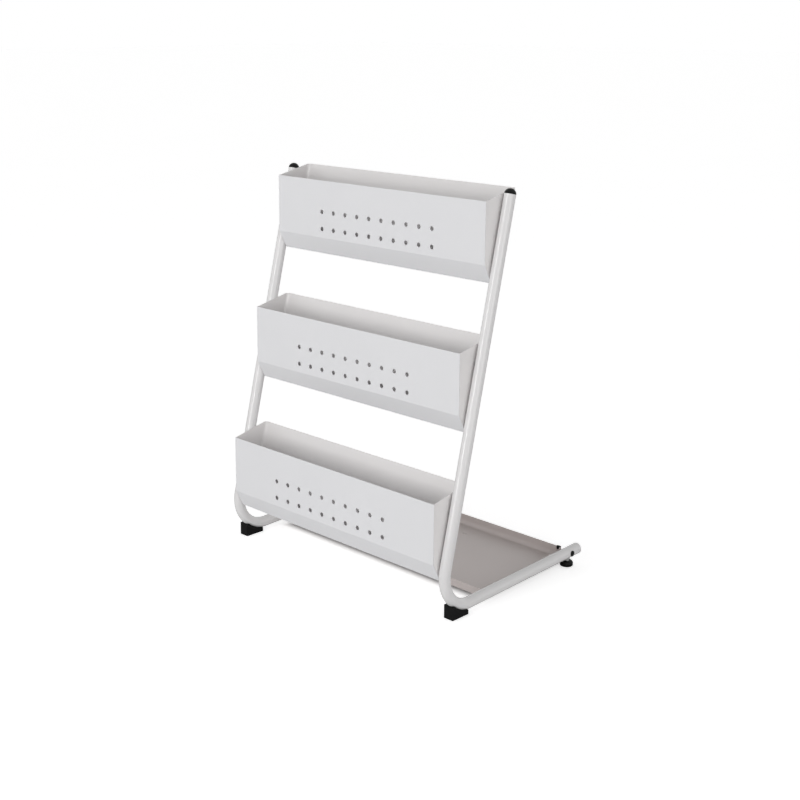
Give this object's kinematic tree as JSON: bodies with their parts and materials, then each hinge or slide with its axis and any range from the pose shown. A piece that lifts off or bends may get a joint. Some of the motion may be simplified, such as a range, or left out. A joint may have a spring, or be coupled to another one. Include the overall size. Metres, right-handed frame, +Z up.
{
  "type": "periodical display rack",
  "caption": "Free-standing periodical rack: bent tube side frames, tiered open sheet-metal pockets with perforated fronts, a base tray and levelling feet.",
  "frame": {"origin": "middle of the footprint, on the floor", "axes": "+Z up, -Y towards the reader in front of the pockets, +X to that reader's right"},
  "size_m": [0.55, 0.3844, 0.7071],
  "materials": {
    "tube_coat": "semi-gloss powder coat",
    "pocket_coat": "semi-gloss powder coat",
    "front_coat": "semi-gloss powder coat",
    "tray_coat": "semi-gloss powder coat",
    "black_plastic": "satin",
    "black_rubber": "matt",
    "zinc_steel": "zinc plated"
  },
  "bodies": {
    "rack": {"left_side_frame": "tube_coat", "left_leg_cap": "tube_coat", "left_top_plug": "black_plastic", "left_leg_side_plug": "black_plastic", "left_tray_edge_clip": "black_plastic", "left_front_foot": "black_rubber", "left_front_foot_screw": "zinc_steel", "left_foot_boss": "zinc_steel", "left_rivet_nuts": "zinc_steel", "right_side_frame": "tube_coat", "right_leg_cap": "tube_coat", "right_top_plug": "black_plastic", "right_leg_side_plug": "black_plastic", "right_tray_edge_clip": "black_plastic", "right_front_foot": "black_rubber", "right_front_foot_screw": "zinc_steel", "right_foot_boss": "zinc_steel", "right_rivet_nuts": "zinc_steel", "top_pocket_shell": "pocket_coat", "top_pocket_front": "front_coat", "top_pocket_screws": "zinc_steel", "middle_pocket_shell": "pocket_coat", "middle_pocket_front": "front_coat", "middle_pocket_screws": "zinc_steel", "bottom_pocket_shell": "pocket_coat", "bottom_pocket_front": "front_coat", "bottom_pocket_screws": "zinc_steel", "base_tray": "tray_coat", "tray_screws": "zinc_steel"},
    "left_glide": {"left_rear_foot": "black_plastic", "left_foot_stud": "zinc_steel"},
    "right_glide": {"right_rear_foot": "black_plastic", "right_foot_stud": "zinc_steel"}
  },
  "joints": [
    {"name": "left_foot_height", "type": "slide", "parent": "rack", "child": "left_glide", "axis": [0, 0, 1], "range_m": [-0.008, 0.0025]},
    {"name": "right_foot_height", "type": "slide", "parent": "rack", "child": "right_glide", "axis": [0, 0, 1], "range_m": [-0.008, 0.0025]}
  ]
}
